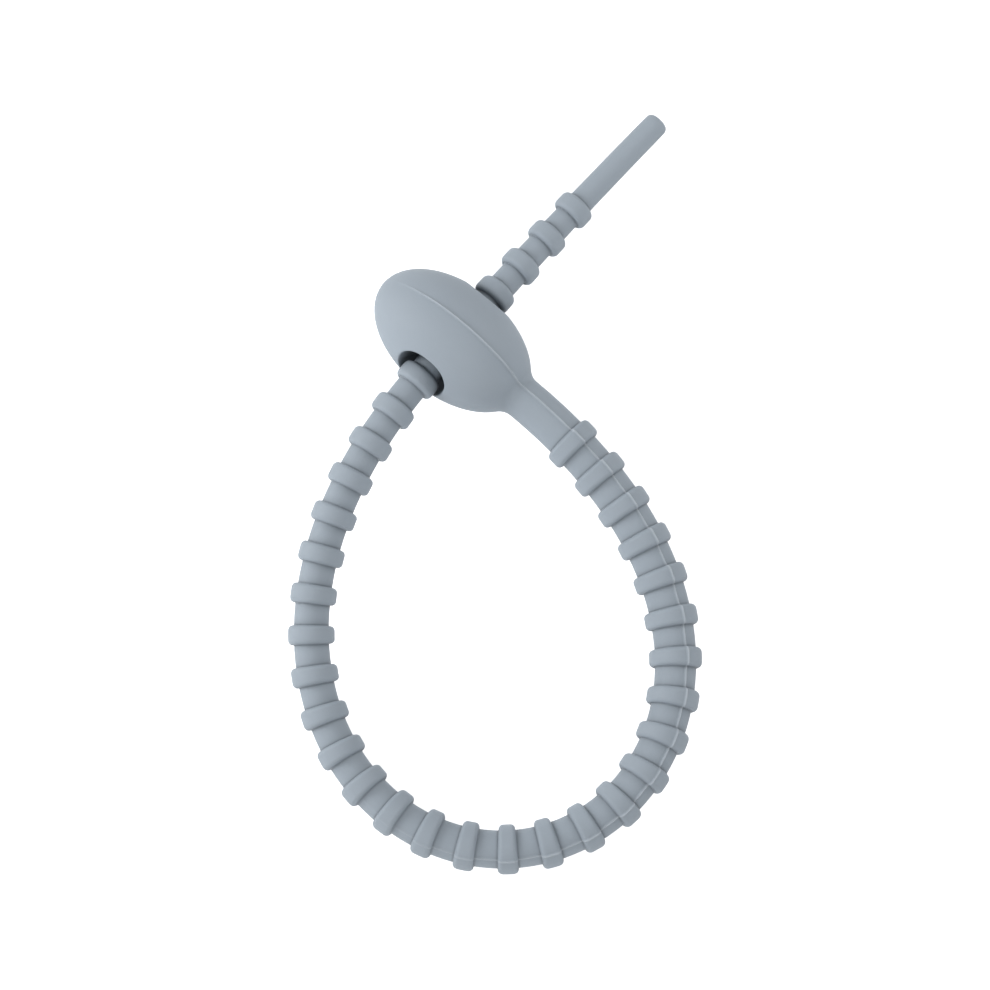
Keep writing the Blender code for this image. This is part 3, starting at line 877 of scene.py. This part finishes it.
class CABLETIE_OT_head(bpy.types.Operator):
    """Adds the head with its hole and the neck to the strap"""
    bl_idname = "cable_tie.head"
    bl_label = "Head and neck"

    def execute(self, context):
        tie = settings()
        head = tie.head
        route = Route(tie)
        rows, seam_row = head_rows(head, tie.seam, tie.strap, route)
        piece = bpy.data.objects["silicone_tie"]
        bm = bmesh.new()
        bm.from_mesh(piece.data)
        bm.verts.ensure_lookup_table()
        strap_ring = [bm.verts[k] for k in range(COLUMNS)]
        crest = bm.verts.layers.float["crest"]

        def add_points(points, crests):
            added = []
            for point, height in zip(points, crests):
                vertex = bm.verts.new(point)
                vertex[crest] = height
                added.append(vertex)
            return added

        def bridge(here, there, first=0):
            """Faces between two closed rings, from one column on."""
            for k in range(first, len(here)):
                beside = (k + 1) % len(here)
                bm.faces.new((here[k], here[beside], there[beside], there[k]))

        grid = []
        for row in rows:
            crests = seam_crest(tie.seam, row[1]) * seam_fade(head, row[0])
            grid.append(add_points(head_points(head, route, row.T), crests))
        low = seam_row - WINDOW_ROWS
        high = seam_row + WINDOW_ROWS
        right = 2 * WINDOW_COLUMNS
        for j, row in enumerate(grid):
            bridge(row, grid[(j + 1) % len(grid)], right if low <= j < high else 0)

        # The window's outline, from the upper seam round by the hole's far side
        outline = [(j, right) for j in range(seam_row, low, -1)]
        outline += [(low, k) for k in range(right, 0, -1)]
        outline += [(j, 0) for j in range(low, high)]
        outline += [(high, k) for k in range(0, right)]
        outline += [(j, right) for j in range(high, seam_row, -1)]
        window_ring = [grid[j][k] for j, k in outline]
        window = np.array([rows[j][:, k] for j, k in outline]).T
        rings = [window_ring]
        for points, crests in flare_rows(head, tie.seam, route, window):
            rings.append(add_points(points, crests))
        rings.append(strap_ring)
        for here, there in zip(rings, rings[1:]):
            bridge(here, there)

        # The small hole in the rod's end is filled, and the points inside the window go
        open_edges = [edge for edge in bm.edges if edge.is_boundary]
        bmesh.ops.holes_fill(bm, edges=open_edges, sides=0)
        for vertex in [vertex for vertex in bm.verts if not vertex.link_faces]:
            bm.verts.remove(vertex)
        bmesh.ops.recalc_face_normals(bm, faces=bm.faces[:])
        for face in bm.faces:
            face.smooth = True
            face.material_index = 0
        bm.to_mesh(piece.data)
        bm.free()
        return {"FINISHED"}


SILICONE_IOR = 1.42
PATCHES_A_METRE = 260.0


def new_material(name):
    """A material, the builder of its nodes and its main shader."""
    material = bpy.data.materials.new(name)
    material.use_nodes = True
    return material, TreeBuilder(material.node_tree), material.node_tree.nodes["Principled BSDF"]


def silicone(finish):
    """Matte silicone rubber with the fine grain of its mould, painted shade in its corners and hollows, and
    a paler seam crest that is partly a painted highlight.
    """
    material, b, shader = new_material("silicone")
    place = b.node("ShaderNodeTexCoord").outputs["Object"]
    cloudy = {"Vector": place, "Scale": PATCHES_A_METRE, "Detail": 4.0, "Roughness": 0.6}
    tone = b.blend(b.out("ShaderNodeTexNoise", cloudy), finish.silicone, finish.pale)
    # The seam's crest is paler: partly the thin flash's own tone, partly a painted highlight
    crest = b.node("ShaderNodeAttribute", attribute_name="crest").outputs["Fac"]
    with_crest_highlight = b.blend(crest, tone, finish.crest_tone_and_highlight)

    def shade(reach, darker):
        """Painted shade: the share of the colour that is left where the tie's own surface is within the
        reach.
        """
        free = b.node("ShaderNodeAmbientOcclusion", {"Distance": reach}, samples=8, only_local=True)
        return b.math("MULTIPLY_ADD", free.outputs["AO"], darker, 1.0 - darker)

    # Painted shade in the corners at the ribs and in the hollows such as the mouth
    creases = shade(finish.crease_reach, finish.crease_shade)
    hollows = shade(finish.hollow_reach, finish.hollow_shade)
    shaded = b.scaled(with_crest_highlight, b.math("MULTIPLY", creases, hollows))
    grain = b.out("ShaderNodeTexNoise", {"Vector": place, "Scale": 1.0 / finish.grain, "Detail": 2.0})
    bump = b.out("ShaderNodeBump", {"Height": grain, "Distance": finish.grain_depth, "Strength": 1.0})
    b.give(shader, {"Base Color": shaded, "Normal": bump, "Roughness": finish.roughness,
                    "IOR": SILICONE_IOR})
    return material


class CABLETIE_OT_finish(bpy.types.Operator):
    """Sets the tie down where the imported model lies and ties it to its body"""
    bl_idname = "cable_tie.finish"
    bl_label = "Place the tie"

    def execute(self, context):
        piece = bpy.data.objects["silicone_tie"]
        mesh = piece.data
        count = len(mesh.vertices)
        points = np.empty(count * 3)
        mesh.vertices.foreach_get("co", points)
        points = points.reshape(count, 3)
        low, high = (np.array(corner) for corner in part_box("cable_tie"))
        shift = (low + high) / 2 - (points.min(axis=0) + points.max(axis=0)) / 2
        shift[2] = low[2] - points[:, 2].min()
        mesh.vertices.foreach_set("co", (points + shift).ravel())
        for name in ("column", "distance", "rise", "rounding"):
            if name in mesh.attributes:
                mesh.attributes.remove(mesh.attributes[name])
        mesh.update()
        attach(piece, "root")
        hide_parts("cable_tie")
        return {"FINISHED"}


CAMERA_TILT = math.radians(10.66)
CAMERA_YAW = math.radians(-0.97)
CAMERA_ROLL = math.radians(0.41)
CAMERA_DISTANCE = 1.5
FRAME_WIDTH = 0.12558
AIM = Vector((0.00018, -0.0007, 0.0050))
SENSOR_MM = 36.0
WHITE = (1.0, 1.0, 1.0, 1.0)
FLOOR_REACH = 1.5
FLOOR_GLOW = 0.80
WORLD_STRENGTH = 0.24

# Soft boxes that face the tie, each with its place, size and power
LAMPS = (
    ("key", (-0.26, 0.07, 0.12), 0.15, 0.50),
    ("fill", (0.18, 0.18, 0.18), 0.20, 0.36),
    ("front", (-0.10, -0.60, 0.50), 0.80, 3.00),
)


def soft_light(name, place, size, power):
    """A square soft box that faces the tie."""
    data = bpy.data.lights.new(name, "AREA")
    data.shape = "SQUARE"
    data.size = size
    data.energy = power
    light = add_object(name, data)
    light.location = place
    light.rotation_euler = (-Vector(place)).to_track_quat("-Z", "Y").to_euler()


def floor_material(finish):
    """Pale floor that the camera sees as white, with the tie's shadow kept on it."""
    material, b, shader = new_material("studio_floor")
    b.give(shader, {"Base Color": (*finish.floor, 1.0), "Roughness": 0.9, "Specular IOR Level": 0.0})
    path = b.node("ShaderNodeLightPath")
    glow = b.out("ShaderNodeEmission", {"Color": WHITE, "Strength": FLOOR_GLOW})
    both = b.out("ShaderNodeAddShader", [shader.outputs[0], glow])
    mirrored = b.math("MAXIMUM", path.outputs["Is Glossy Ray"], path.outputs["Is Transmission Ray"])
    white = b.math("MAXIMUM", path.outputs["Is Camera Ray"], mirrored)
    seen = b.out("ShaderNodeMixShader", [white, shader.outputs[0], both])
    b.give(material.node_tree.nodes["Material Output"], {"Surface": seen})
    return material


class CABLETIE_OT_stage(bpy.types.Operator):
    """Builds the pale floor, the soft lights and the camera"""
    bl_idname = "cable_tie.stage"
    bl_label = "Studio"

    def execute(self, context):
        tie = settings()
        mesh = bpy.data.meshes.new("floor")
        corners = [(x * FLOOR_REACH, y * FLOOR_REACH, 0) for x, y in ((-1, -1), (1, -1), (1, 1), (-1, 1))]
        mesh.from_pydata(corners, [], [(0, 1, 2, 3)])
        mesh.materials.append(floor_material(tie.finish))
        floor = add_object("floor", mesh)
        for lamp in LAMPS:
            soft_light(*lamp)
        world = bpy.data.worlds.new("studio")
        world.use_nodes = True
        tree = world.node_tree
        TreeBuilder(tree).give(tree.nodes["Background"], {"Color": WHITE, "Strength": WORLD_STRENGTH})
        context.scene.world = world
        data = bpy.data.cameras.new("camera")
        data.sensor_width = SENSOR_MM
        data.lens = SENSOR_MM * CAMERA_DISTANCE / FRAME_WIDTH
        data.clip_start = 0.01
        data.clip_end = 10.0
        camera = add_object("camera", data)
        turned = Euler((CAMERA_TILT, 0, CAMERA_YAW)).to_matrix() @ Matrix.Rotation(CAMERA_ROLL, 3, "Z")
        camera.location = AIM + turned.col[2] * CAMERA_DISTANCE
        camera.rotation_euler = turned.to_euler()
        context.scene.camera = camera
        context.scene.view_settings.view_transform = "Standard"
        return {"FINISHED"}


class CABLETIE_PT_panel(bpy.types.Panel):
    """Lists the tie's pieces and settings"""
    bl_idname = "CABLETIE_PT_panel"
    bl_label = "Cable tie"
    bl_space_type = "VIEW_3D"
    bl_region_type = "UI"
    bl_category = "Cable tie"

    def draw(self, context):
        for operator in OPERATORS:
            self.layout.operator(operator.bl_idname)
        tie = settings()
        for group in (tie.head, tie.strap, tie.lie, tie.seam, tie.finish):
            box = self.layout.box()
            for name in group.bl_rna.properties.keys():
                if name not in ("rna_type", "name"):
                    box.prop(group, name)


OPERATORS = (CABLETIE_OT_strap, CABLETIE_OT_head, CABLETIE_OT_finish, CABLETIE_OT_stage)
CLASSES = (HeadSizes, StrapSizes, LieSizes, SeamSizes, Finish, TieSettings, *OPERATORS, CABLETIE_PT_panel)


def register():
    for each in CLASSES:
        bpy.utils.register_class(each)
    bpy.types.Scene.tie_settings = PointerProperty(type=TieSettings)


def unregister():
    del bpy.types.Scene.tie_settings
    for each in reversed(CLASSES):
        bpy.utils.unregister_class(each)


def main():
    register()
    bpy.ops.cable_tie.strap()
    bpy.ops.cable_tie.head()
    bpy.ops.cable_tie.finish()
    bpy.ops.cable_tie.stage()


if __name__ == "__main__":
    main()
